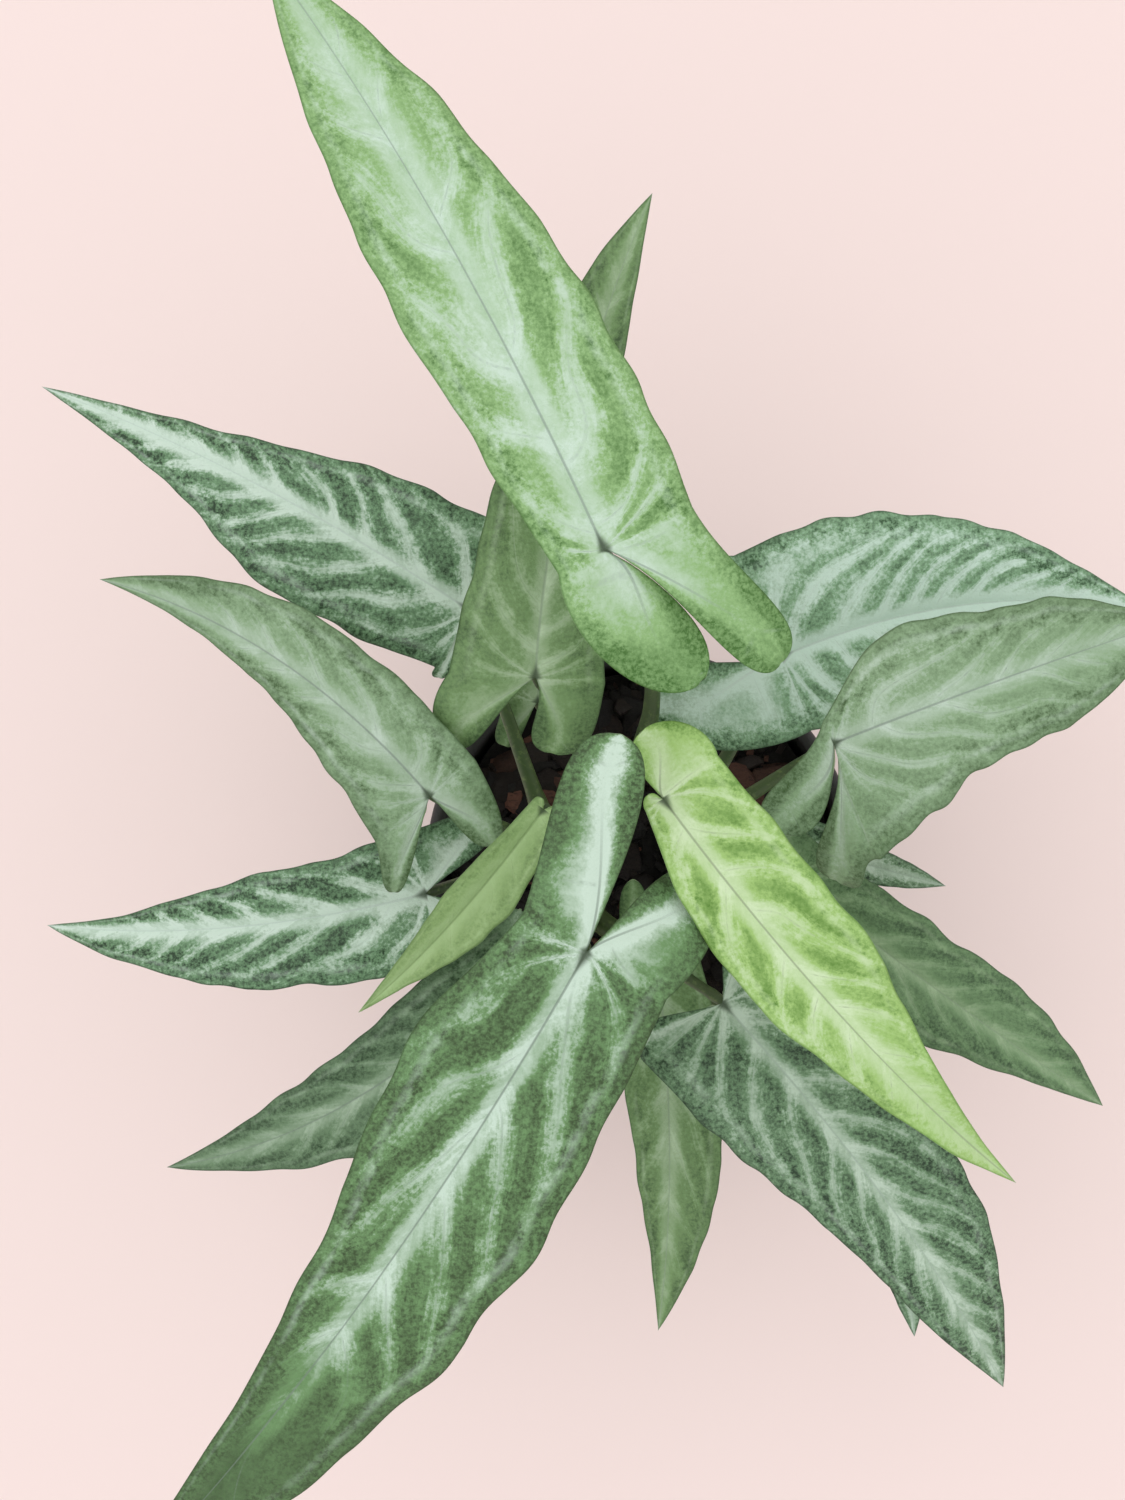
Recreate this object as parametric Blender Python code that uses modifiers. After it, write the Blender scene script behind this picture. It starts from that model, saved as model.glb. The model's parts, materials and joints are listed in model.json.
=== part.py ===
"""An arrowhead plant with patterned leaves, in a round nursery pot filled with bark soil.

Metres, +Z up. The origin is the centre of the pot's flat base, so the plant stands on z = 0.
Leaves are placed by the point where the stalk meets the blade and by the tip of the blade.
Left and right are as seen from above with the tip ahead.
"""

import math
import random
from collections import namedtuple

import bmesh
import bpy
from mathutils import Matrix, Vector, noise

MM = 0.001
UP = Vector((0, 0, 1))
GAP = 0.3 * MM
MERGE = 0.02 * MM

# Pot, a 12 cm nursery pot
POT_HEIGHT = 105 * MM
POT_BASE_RADIUS = 44 * MM
POT_TOP_RADIUS = 58 * MM
POT_WALL = 1.6 * MM
POT_FLOOR = 2.5 * MM
RIM_OUT = 3 * MM
RIM_BAND = 12 * MM
RIM_EDGE = 1 * MM
RIM_TAPER = 0.6 * MM
FOOT_EDGE = 1.5 * MM
POT_SIDES = 48
DRAIN_HOLES = 6
DRAIN_RADIUS = 4 * MM
DRAIN_RING = 33 * MM
DRAIN_SIDES = 12
DRAIN_CUT_PAST = 5 * MM

# Bark soil
SOIL_LEVEL = 93 * MM
SOIL_MOUND = 4 * MM
SOIL_LUMP = 1.2 * MM
SOIL_LUMPS_PER_METRE = 90
SOIL_RINGS = (0.3, 0.6, 0.85)
SOIL_EVEN_FROM = 0.9
SOIL_SIDES = 36
SOIL_SIDE_GAP = 1.5 * GAP
CHIPS = 52
CHIP_LENGTH = (9 * MM, 17 * MM)
CHIP_WIDTH = (5 * MM, 9 * MM)
CHIP_THICK = (3 * MM, 5 * MM)
CHIP_SEED = 11
CHIP_TURN = math.radians(137.5)
CHIP_LOOSE = 0.2
CHIP_ROUGH = 0.14
CHIP_RISE = 0.4 * MM
CHIP_FROM_WALL = 10 * MM
CHIP_FROM_STEM = 10 * MM

# Stems, planted in plain holes
STEM_DEPTH = 25 * MM
STEM_RADIUS = 4.5 * MM
STEM_TOP_RADIUS = 3.4 * MM
STEM_SIDES = 10

# Leaf stalks
STALK_BASE_RADIUS = 2.9 * MM
STALK_MIDDLE_RADIUS = 1.8 * MM
STALK_END_RADIUS = 1.3 * MM
STALK_RUNS = 9
STALK_BEVEL_STEPS = 1
STALK_SEAT = 0.1 * MM
STALK_SLIMS_BY = 1.6
STALK_UNDER_BLADE = 7 * MM
STALK_FIRST = 4
STALK_SPACING = 3
STALK_UPRIGHT = 0.45
STALK_LEAN = 0.24
STALK_ARRIVE = 0.35
STALK_TOP_LEAN = 0.8
STALK_TOP_LEAN_MOST = 1.2
NECK_BELOW = 1.2 * MM
NECK_BEHIND = 0.6 * MM

# Blades
BLADE_THICKNESS = 0.8 * MM
ROWS = (12, 5, 4)
SMALL_BLADE = 75 * MM
ROWS_SMALL = (7, 3, 3)
WAVES = 2.6
WAVE_START = 0.2
WAVE_HALF_SHIFT = 0.15
WAVE_FADE = 4
LOBE_OUTER_BEND = 0.45
LOBE_INNER_BEND = 0.35
LOBE_DROP_BEND = 1.5

# side and back place the lobe's tip from the sinus, round is how blunt the tip is, drop how far it
# hangs below the blade's own plane, and outer and inner swell its two margins
Lobe = namedtuple("Lobe", "side back round drop outer inner", defaults=(0, 0, 0))

# left and right hold the half widths at 0, 0.2, 0.4, 0.6 and 0.8 of the blade's length
Leaf = namedtuple(
    "Leaf",
    "name shoot sinus tip arch bow left right left_lobe right_lobe roll fold curl wave colour",
)

# Stems: place on the soil, and height of the top above the soil, in millimetres
SHOOTS = {
    "north": (-8, 20, 26),
    "west": (-24, 4, 24),
    "south": (-16, -12, 24),
    "east": (9, 8, 26),
}

# All in millimetres and degrees
LEAVES = [
    Leaf("leaf_north_top", "north", (-13, 77, 228), (-90, 212, 226), 12, -3,
         (12, 16, 18, 16, 10.5), (22, 23, 20.5, 16.5, 9),
         Lobe(-8, 38, 12, 2, 6, 5), Lobe(28, 44, 13, 5, 2, -6), 8, 0.25, 0.22, 0.8, "light"),
    Leaf("leaf_north_under", "north", (-29, 50, 186), (-1, 165, 196), 8, 5,
         (21, 17, 15, 11, 7.5), (17, 14, 11.5, 8, 5),
         Lobe(19, 20, 6, 2, 6, -2), Lobe(5, 20, 11, 2, -1, -3), 0, 0.22, 0.2, 0.8, "olive"),
    Leaf("leaf_north_small", "north", (-29, 45, 142), (-23, 108, 136), 5, 0,
         (9, 9, 8, 6, 3), (9, 9, 8, 6, 3),
         Lobe(8, 13, 5, 1), Lobe(7, 12, 5, 1), 0, 0.2, 0.2, 0, "olive"),
    Leaf("leaf_west_high", "west", (-46, 68, 160), (-158, 127, 150), 9, -3,
         (17, 21.5, 21.5, 12, 5.5), (23, 20, 14, 8, 3.5),
         Lobe(19, 3, 4, 2), Lobe(24, 5, 4, 2), 0, 0.25, 0.2, 0.8, "dark"),
    Leaf("leaf_west_middle", "west", (-55, 21, 180), (-138, 75, 172), 8, -8,
         (17.5, 14, 9.5, 6, 2.5), (14.5, 14.5, 14.5, 12.5, 7),
         Lobe(23, 14, 4, 2, 2), Lobe(4, 20, 6, 3, -2), -5, 0.2, 0.2, 0.6, "grey"),
    Leaf("leaf_west_low", "west", (-58, -5, 150), (-159, -14, 140), 8, 4,
         (17, 19, 16.5, 13.5, 7.5), (17, 14.5, 12.5, 8.5, 3.7),
         Lobe(10, 14, 6, 2), Lobe(14, 22, 7, 2), 0, 0.25, 0.2, 0.6, "dark"),
    Leaf("leaf_west_new", "west", (-27, 18, 185), (-74, -34, 165), 6, 2,
         (5, 8, 9, 6.2, 2.6), (3.5, 5, 6, 4.5, 2.4),
         Lobe(3, 3, 1.5, 0), Lobe(2, 2, 1.2, 0), 0, 0.35, 0.1, 0, "yellow"),
    Leaf("leaf_southwest_low", "south", (-33, -23, 138), (-130, -81, 126), 9, 9,
         (13, 16, 18.5, 12.5, 6), (12, 15, 13, 11, 6),
         Lobe(10, 9, 4, -2), Lobe(9, 9, 4, -2), 0, 0.22, 0.2, 0.5, "grey"),
    Leaf("leaf_south_top", "south", (-17, -13, 224), (-130, -169, 198), 14, 5,
         (21, 25, 25, 20.5, 11.5), (17, 24.5, 17, 10.5, 6),
         Lobe(17, 29, 11, 20, 5, 2), Lobe(19, 45, 15, -8, 4, 4), -8, 0.22, 0.2, 0.8, "strong"),
    Leaf("leaf_centre_east", "east", (1, 21, 208), (87, -72, 190), 16, -4,
         (16, 17.5, 16.5, 10.5, 4.2), (5, 12, 12, 8.5, 5),
         Lobe(5, 16.5, 8, 0, 3, 2), Lobe(2, 3, 1.5, 0), 0, 0.25, 0.15, 2.0, "bright"),
    Leaf("leaf_east_high", "east", (33, 56, 166), (125, 67, 168), 9, 7,
         (28, 28, 24, 17.5, 8.5), (20, 24, 23, 19, 12),
         Lobe(21, 13, 8, 2, 3, 1), Lobe(-3, 38, 15, 2, 2), 0, 0.35, 0.25, 0.8, "dark"),
    Leaf("leaf_east_middle", "east", (43, 34, 190), (122, 63, 198), 8, 1,
         (6, 18.5, 18.5, 15.5, 10.5), (30, 23, 18, 16, 10),
         Lobe(-14, 21, 14, -6, -11, 5), Lobe(32, 16, 13, 8, -3, -8), 0, 0.22, 0.2, 0.8, "grey"),
    Leaf("leaf_east_small", "east", (36, 8, 122), (83, -5, 120), 4, 0,
         (6, 8, 7, 5, 3), (6, 8, 7, 5, 3),
         Lobe(4, 4, 2, -1), Lobe(4, 4, 2, -1), 0, 0.2, 0.1, 0, "dark"),
    Leaf("leaf_southeast_low", "east", (38, -2, 142), (124, -64, 128), 8, -1,
         (12, 13, 13, 13.5, 9), (13, 15, 15, 10.5, 5),
         Lobe(10, 12, 4, -2), Lobe(10, 12, 4, -2), 0, 0.2, 0.2, 0.4, "dull"),
    Leaf("leaf_southeast_top", "south", (17, -30, 178), (92, -133, 152), 10, 4,
         (21, 22.5, 21, 19, 11), (24, 22.5, 17.5, 12.5, 8),
         Lobe(15, 11, 6, 1), Lobe(21, 8, 6, 1), 0, 0.22, 0.2, 0.8, "dark"),
    Leaf("leaf_south_low", "south", (3, -22, 126), (4, -128, 117), 8, 3,
         (11, 14, 14.5, 13, 8), (9, 12, 11, 8, 4),
         Lobe(10, 16, 5, -5), Lobe(4, 19, 5, -6), 0, 0.22, 0.2, 0.4, "olive"),
    Leaf("leaf_south_small", "south", (66, -72, 118), (75, -130, 116), 4, 0,
         (8, 10, 9, 7, 4), (8, 10, 9, 7, 4),
         Lobe(5, 5, 2.5, -1), Lobe(5, 5, 2.5, -1), 0, 0.2, 0.1, 0, "dark"),
]

# How far a stalk's middle stands aside, east and north, to pass clear of its neighbours
SWAY = {
    "leaf_north_top": (14, 4),
}

COLOURS = {
    "light": (0.36, 0.50, 0.24),
    "olive": (0.22, 0.34, 0.16),
    "dark": (0.16, 0.27, 0.17),
    "grey": (0.27, 0.40, 0.26),
    "yellow": (0.34, 0.48, 0.18),
    "strong": (0.27, 0.42, 0.24),
    "bright": (0.38, 0.53, 0.16),
    "dull": (0.15, 0.25, 0.15),
    "stalk": (0.16, 0.28, 0.10),
    "bark": (0.07, 0.04, 0.03),
    "plastic": (0.012, 0.012, 0.013),
}


def make_material(name, colour, roughness):
    material = bpy.data.materials.new(name)
    material.use_nodes = True
    shader = material.node_tree.nodes["Principled BSDF"]
    shader.inputs["Base Color"].default_value = (*COLOURS[colour], 1.0)
    shader.inputs["Roughness"].default_value = roughness
    shader.inputs["Metallic"].default_value = 0.0
    return material


def add_object(name, mesh, collection):
    thing = bpy.data.objects.new(name, mesh)
    collection.objects.link(thing)
    return thing


def new_collection(name):
    collection = bpy.data.collections.new(name)
    bpy.context.scene.collection.children.link(collection)
    return collection


def smooth_step(t):
    t = min(max(t, 0.0), 1.0)
    return t * t * (3 - 2 * t)


def through(values, t):
    """A smooth curve through evenly spaced values, read at t from 0 to 1."""
    last = len(values) - 1
    place = min(max(t, 0.0), 1.0) * last
    i = min(int(place), last - 1)
    f = place - i
    b, c = values[i], values[i + 1]
    a = values[i - 1] if i > 0 else 2 * b - c
    d = values[i + 2] if i + 2 <= last else 2 * c - b
    bend = (2 * a - 5 * b + 4 * c - d) * f * f + (3 * b - a - 3 * c + d) * f**3
    return 0.5 * (2 * b + (c - a) * f + bend)


def cubic(start, near_start, near_end, end, t):
    """A cubic Bezier curve."""
    ends = start * (1 - t) ** 3 + end * t**3
    return ends + near_start * (3 * t * (1 - t) ** 2) + near_end * (3 * t * t * (1 - t))


class Blade:
    """The middle surface of one leaf blade, as points of a formula."""

    def __init__(self, leaf):
        self.leaf = leaf
        self.start = Vector(leaf.sinus) * MM
        chord = Vector(leaf.tip) * MM - self.start
        self.length = chord.length
        self.ahead = chord.normalized()
        self.aside = UP.cross(self.ahead).normalized()
        self.up = self.ahead.cross(self.aside)
        self.bend = (self.aside * leaf.bow + self.up * leaf.arch) * MM

    def midrib(self, t):
        return self.start + self.ahead * (self.length * t) + self.bend * (4 * t * (1 - t))

    def frame(self, t):
        """The directions ahead, to the left and up off the blade at t."""
        tangent = (self.ahead * self.length + self.bend * (4 * (1 - 2 * t))).normalized()
        left = self.up.cross(tangent).normalized()
        roll = Matrix.Rotation(math.radians(self.leaf.roll), 3, tangent)
        left = roll @ left
        return tangent, left, tangent.cross(left)

    def widths(self, half):
        return (*(self.leaf.left if half > 0 else self.leaf.right), 0)

    def ripple(self, half, t):
        return math.sin(math.tau * (WAVES * t + WAVE_START + WAVE_HALF_SHIFT * half))

    def ahead_point(self, half, t, u):
        """A point of the blade ahead of the sinus, u from midrib to margin; half is 1 left, -1 right."""
        leaf = self.leaf
        width = through(self.widths(half), t) * MM
        height = width * (leaf.fold * u - leaf.curl * u * u)
        height += leaf.wave * MM * self.ripple(half, t) * smooth_step(WAVE_FADE * (1 - t)) * u * u
        _, left, normal = self.frame(t)
        return self.midrib(t) + left * (half * width * u) + normal * height

    def lobe_point(self, half, t, u):
        """A point of a back lobe, t from the sinus to the lobe's tip, u from inner to outer margin."""
        leaf = self.leaf
        lobe = leaf.left_lobe if half > 0 else leaf.right_lobe
        width = self.widths(half)[0]
        tip = Vector((lobe.side, -lobe.back))
        along = (tip - Vector((width / 2, 0))).normalized()
        across = Vector((-along.y, along.x))
        outer = (Vector((width, 0)), Vector((width + lobe.outer, -LOBE_OUTER_BEND * lobe.back)))
        outer = cubic(*outer, tip + across * lobe.round, tip, t)
        inner = (Vector((0, 0)), tip * LOBE_INNER_BEND - across * lobe.inner)
        inner = cubic(*inner, tip - across * lobe.round, tip, t)
        spot = inner + (outer - inner) * u
        start_wave = leaf.wave * self.ripple(half, 0) * u * u
        height = (leaf.fold * spot.x - leaf.curl * width * u * u + start_wave) * (1 - t)
        height -= lobe.drop * t**LOBE_DROP_BEND
        height -= leaf.curl * (outer - inner).length * (u - 0.5) ** 2 * t
        tangent, left, normal = self.frame(0)
        side = left * (half * spot.x * MM)
        return self.start + tangent * (spot.y * MM) + side + normal * (height * MM)

    def point(self, half, row, rows_lobe, rows_ahead, u):
        """A point by its row, counted from the lobe's tip over the sinus to the blade's tip."""
        if row < rows_lobe:
            return self.lobe_point(half, (rows_lobe - row) / rows_lobe, u)
        return self.ahead_point(half, (row - rows_lobe) / rows_ahead, u)


def half_sheet(sheet, blade, half, rows_of):
    """Adds one half of the blade, as a grid that the formula shapes."""
    rows_ahead, rows_lobe, rows_across = rows_of
    rows = rows_lobe + rows_ahead
    made = bmesh.ops.create_grid(sheet, x_segments=rows_across, y_segments=rows, size=0.5)["verts"]
    for vert in made:
        u = vert.co.x + 0.5
        row = round((vert.co.y + 0.5) * rows)
        vert.co = blade.point(half, row, rows_lobe, rows_ahead, u) - blade.start
    if half > 0:
        faces = list({face for vert in made for face in vert.link_faces})
        bmesh.ops.reverse_faces(sheet, faces=faces)


def make_blade(leaf, collection):
    blade = Blade(leaf)
    sheet = bmesh.new()
    for half in (1, -1):
        half_sheet(sheet, blade, half, ROWS_SMALL if blade.length < SMALL_BLADE else ROWS)
    bmesh.ops.remove_doubles(sheet, verts=sheet.verts, dist=MERGE)
    bmesh.ops.triangulate(sheet, faces=sheet.faces, quad_method="FIXED")
    mesh = bpy.data.meshes.new(leaf.name)
    sheet.to_mesh(mesh)
    sheet.free()
    mesh.shade_smooth()
    mesh.materials.append(make_material(leaf.name, leaf.colour, 0.45))
    thing = add_object(leaf.name, mesh, collection)
    thing.location = blade.start
    solidify = thing.modifiers.new("thickness", "SOLIDIFY")
    solidify.thickness = BLADE_THICKNESS
    solidify.offset = 0


def stalk_route(leaf, root):
    """Points and radii of one leaf stalk, from inside its stem to under the blade's midrib."""
    blade = Blade(leaf)
    seat = BLADE_THICKNESS / 2 + GAP + STALK_END_RADIUS + STALK_SEAT
    tangent, _, normal = blade.frame(0)
    neck = blade.start - normal * (seat + NECK_BELOW) - tangent * NECK_BEHIND
    across = Vector((neck.x - root.x, neck.y - root.y, 0))
    rise = neck.z - root.z
    lean = across.normalized()
    reach = (neck - root).length
    sway = Vector((*SWAY.get(leaf.name, (0, 0)), 0)) * MM
    out = root + (UP + lean * STALK_LEAN).normalized() * (STALK_UPRIGHT * reach) + sway
    top_lean = min(STALK_TOP_LEAN_MOST, STALK_TOP_LEAN * across.length / rise)
    arrive = (UP + lean * top_lean).normalized()
    near = neck - arrive * (STALK_ARRIVE * reach) + sway
    route = []
    for step in range(STALK_RUNS + 1):
        t = step / STALK_RUNS
        slim = smooth_step(STALK_SLIMS_BY * t)
        radius = STALK_BASE_RADIUS + (STALK_MIDDLE_RADIUS - STALK_BASE_RADIUS) * slim
        radius += (STALK_END_RADIUS - STALK_MIDDLE_RADIUS) * smooth_step(2 * t - 1)
        route.append((cubic(root, out, near, neck, t), radius))
    for run in (0.5, 1.0):
        t = run * STALK_UNDER_BLADE / blade.length
        under = blade.midrib(t) - blade.frame(t)[2] * seat
        route.append((under, STALK_END_RADIUS))
    return route


def make_tube(name, route):
    """A closed mesh tube along the route, with its own radius at each point."""
    curve = bpy.data.curves.new(name, "CURVE")
    curve.dimensions = "3D"
    curve.bevel_depth = 1.0
    curve.bevel_resolution = STALK_BEVEL_STEPS
    curve.use_fill_caps = True
    spline = curve.splines.new("POLY")
    spline.points.add(len(route) - 1)
    for point, (place, radius) in zip(spline.points, route):
        point.co = (*place, 1.0)
        point.radius = radius
    guide = add_object(name + "_curve", curve, bpy.context.scene.collection)
    return to_mesh_object(name, guide)


def to_mesh_object(name, source):
    """Replaces an object by a plain mesh of what its modifiers or bevel make of it."""
    bpy.context.view_layer.update()
    evaluated = source.evaluated_get(bpy.context.evaluated_depsgraph_get())
    mesh = bpy.data.meshes.new_from_object(evaluated)
    shape = bmesh.new()
    shape.from_mesh(mesh)
    bmesh.ops.remove_doubles(shape, verts=shape.verts, dist=0.005 * MM)
    shape.to_mesh(mesh)
    shape.free()
    mesh.name = name
    thing = bpy.data.objects.new(name, mesh)
    thing.matrix_world = source.matrix_world.copy()
    bpy.data.objects.remove(source, do_unlink=True)
    return thing


def cylinder(name, low, high, radius, top_radius, sides, collection):
    """An upright round bar or cone between two heights."""
    shape = bmesh.new()
    bmesh.ops.create_cone(
        shape, cap_ends=True, segments=sides, radius1=radius, radius2=top_radius,
        depth=high.z - low.z,
    )
    mesh = bpy.data.meshes.new(name)
    shape.to_mesh(mesh)
    shape.free()
    thing = add_object(name, mesh, collection)
    thing.location = (low + high) / 2
    return thing


def boolean(thing, operation, collection):
    cut = thing.modifiers.new(operation.lower(), "BOOLEAN")
    cut.operation = operation
    cut.operand_type = "COLLECTION"
    cut.collection = collection
    cut.solver = "EXACT"


def empty_out(collection):
    for thing in list(collection.objects):
        bpy.data.objects.remove(thing, do_unlink=True)
    bpy.data.collections.remove(collection)


def soil_height(x, y):
    """The soil's top at a place, in metres: a low mound."""
    return SOIL_LEVEL + SOIL_MOUND * (1 - (x * x + y * y) / POT_TOP_RADIUS**2)


def make_shoot(name, parts):
    """One stem with its leaf stalks, joined into one body."""
    x, y, top = SHOOTS[name]
    foot = Vector((x * MM, y * MM, soil_height(x * MM, y * MM) - STEM_DEPTH))
    head = foot + Vector((0, 0, STEM_DEPTH + top * MM))
    stem = cylinder(f"shoot_{name}", foot, head, STEM_RADIUS, STEM_TOP_RADIUS, STEM_SIDES, parts)
    stalks = new_collection(f"stalks_{name}")
    leaves = [leaf for leaf in LEAVES if leaf.shoot == name]
    for rank, leaf in enumerate(leaves):
        root = head - UP * ((STALK_FIRST + STALK_SPACING * rank) * MM)
        stalks.objects.link(make_tube(f"stalk_{leaf.name}", stalk_route(leaf, root)))
    boolean(stem, "UNION", stalks)
    joined = to_mesh_object(stem.name, stem)
    joined.name = f"shoot_{name}"
    parts.objects.link(joined)
    empty_out(stalks)
    joined.data.shade_smooth()
    joined.data.materials.clear()
    joined.data.materials.append(make_material(f"shoot_{name}", "stalk", 0.5))


def turned(name, profile, steps, collection):
    """A solid turned from points of radius and height that run from the axis back to the axis."""
    shape = bmesh.new()
    verts = [shape.verts.new((radius, 0, height)) for radius, height in profile]
    for start, end in zip(verts, verts[1:]):
        shape.edges.new((start, end))
    mesh = bpy.data.meshes.new(name)
    shape.to_mesh(mesh)
    shape.free()
    thing = add_object(name, mesh, collection)
    screw = thing.modifiers.new("turn", "SCREW")
    screw.steps = steps
    screw.render_steps = steps
    screw.use_merge_vertices = True
    screw.merge_threshold = 0.00005
    screw.use_smooth_shade = False
    return thing


def wall_radius(height):
    """The pot's outer radius at a height."""
    return POT_BASE_RADIUS + (POT_TOP_RADIUS - POT_BASE_RADIUS) * height / POT_HEIGHT


def make_pot(parts, cutters):
    inner = POT_TOP_RADIUS - POT_WALL
    outer = POT_TOP_RADIUS + RIM_OUT
    under_rim = POT_HEIGHT - RIM_BAND
    profile = [
        (0, POT_FLOOR),
        (wall_radius(POT_FLOOR) - POT_WALL, POT_FLOOR),
        (inner, POT_HEIGHT - RIM_EDGE),
        (inner + RIM_EDGE, POT_HEIGHT),
        (outer - RIM_EDGE, POT_HEIGHT),
        (outer, POT_HEIGHT - RIM_EDGE),
        (outer - RIM_TAPER, under_rim),
        (wall_radius(under_rim), under_rim),
        (wall_radius(FOOT_EDGE), FOOT_EDGE),
        (wall_radius(0) - FOOT_EDGE, 0),
        (0, 0),
    ]
    pot = turned("pot", profile, POT_SIDES, parts)
    holes = new_collection("drain_holes")
    cutters.children.link(holes)
    bpy.context.scene.collection.children.unlink(holes)
    for index in range(DRAIN_HOLES):
        turn = 2 * math.pi * (index + 0.5) / DRAIN_HOLES
        x = DRAIN_RING * math.cos(turn)
        y = DRAIN_RING * math.sin(turn)
        low = Vector((x, y, -DRAIN_CUT_PAST))
        high = Vector((x, y, POT_FLOOR + DRAIN_CUT_PAST))
        name = f"drain_hole_{index + 1}"
        hide_cutter(cylinder(name, low, high, DRAIN_RADIUS, DRAIN_RADIUS, DRAIN_SIDES, holes))
    boolean(pot, "DIFFERENCE", holes)
    pot.data.materials.append(make_material("pot", "plastic", 0.4))


def hide_cutter(thing):
    thing.hide_render = True
    thing.display_type = "WIRE"


def make_chip(draw, index, chips):
    """One bark chip, a rough slab lying half in the soil, or nothing where a stem stands."""
    reach = POT_TOP_RADIUS - POT_WALL - CHIP_FROM_WALL
    radius = reach * math.sqrt((index + 0.5) / CHIPS)
    turn = index * CHIP_TURN + draw.uniform(-CHIP_LOOSE, CHIP_LOOSE)
    x = radius * math.cos(turn)
    y = radius * math.sin(turn)
    size = [draw.uniform(*CHIP_LENGTH), draw.uniform(*CHIP_WIDTH), draw.uniform(*CHIP_THICK)]
    spin = draw.uniform(0, math.tau)
    tilt = (draw.uniform(-CHIP_LOOSE, CHIP_LOOSE), draw.uniform(-CHIP_LOOSE, CHIP_LOOSE))
    shifts = [Vector([draw.uniform(-CHIP_ROUGH, CHIP_ROUGH) for _ in range(3)]) for _ in range(8)]
    stems = [(sx * MM, sy * MM) for sx, sy, _ in SHOOTS.values()]
    if any(math.hypot(x - sx, y - sy) < CHIP_FROM_STEM for sx, sy in stems):
        return
    shape = bmesh.new()
    bmesh.ops.create_cube(shape, size=1.0)
    for vert, shift in zip(shape.verts, shifts):
        vert.co += shift
    bmesh.ops.scale(shape, vec=size, verts=shape.verts)
    bmesh.ops.triangulate(shape, faces=shape.faces)
    mesh = bpy.data.meshes.new(f"chip_{index}")
    shape.to_mesh(mesh)
    shape.free()
    chip = add_object(f"chip_{index}", mesh, chips)
    chip.location = (x, y, soil_height(x, y) + CHIP_RISE)
    chip.rotation_euler = (*tilt, spin)


def make_soil(parts):
    """The potting mix, one body: a filled cone with a lumpy top, bark chips and the stems' holes."""
    base = POT_FLOOR + GAP
    edge = soil_height(POT_TOP_RADIUS, 0)
    inwards = POT_WALL + SOIL_SIDE_GAP
    rim = wall_radius(edge) - inwards
    profile = [(0, soil_height(0, 0))]
    for share in SOIL_RINGS:
        profile.append((rim * share, soil_height(rim * share, 0)))
    profile += [(rim, edge), (wall_radius(base) - inwards, base), (0, base)]
    soil = to_mesh_object("soil", turned("soil_turned", profile, SOIL_SIDES, parts))
    parts.objects.link(soil)
    for vert in soil.data.vertices:
        if vert.co.z > edge and math.hypot(vert.co.x, vert.co.y) < SOIL_EVEN_FROM * rim:
            vert.co.z += SOIL_LUMP * noise.noise(vert.co * SOIL_LUMPS_PER_METRE)
    chips = new_collection("chips")
    draw = random.Random(CHIP_SEED)
    for index in range(CHIPS):
        make_chip(draw, index, chips)
    holes = new_collection("stem_holes")
    for name, (x, y, _) in SHOOTS.items():
        low = Vector((x * MM, y * MM, soil_height(x * MM, y * MM) - STEM_DEPTH - GAP))
        high = low + Vector((0, 0, 2 * STEM_DEPTH))
        radius = STEM_RADIUS + GAP
        cylinder(f"stem_hole_{name}", low, high, radius, radius, STEM_SIDES, holes)
    boolean(soil, "UNION", chips)
    boolean(soil, "DIFFERENCE", holes)
    joined = to_mesh_object("soil_joined", soil)
    joined.name = "soil"
    parts.objects.link(joined)
    empty_out(chips)
    empty_out(holes)
    joined.data.materials.clear()
    joined.data.materials.append(make_material("soil", "bark", 0.9))


def main():
    for thing in list(bpy.data.objects):
        bpy.data.objects.remove(thing, do_unlink=True)
    parts = new_collection("arrowhead_plant")
    cutters = new_collection("cutters")
    make_pot(parts, cutters)
    make_soil(parts)
    for name in SHOOTS:
        make_shoot(name, parts)
    for leaf in LEAVES:
        make_blade(leaf, parts)
    whole = add_object("arrowhead_plant_origin", None, parts)
    for thing in parts.objects:
        if thing is not whole:
            thing.parent = whole


if __name__ == "__main__":
    main()
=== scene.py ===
"""An arrowhead plant with patterned leaves, in a black nursery pot filled with bark soil.

Metres, +Z up. Each leaf, stem, the soil and the pot replace their plain solid with a finer piece of
the same form. Leaves are placed by the point where the stalk meets the blade and by the blade's tip.
Left and right are as seen from above with the tip ahead.
"""

import json
import math
import random
from collections import namedtuple

import bmesh
import bpy
from mathutils import Euler, Matrix, Vector, noise

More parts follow.
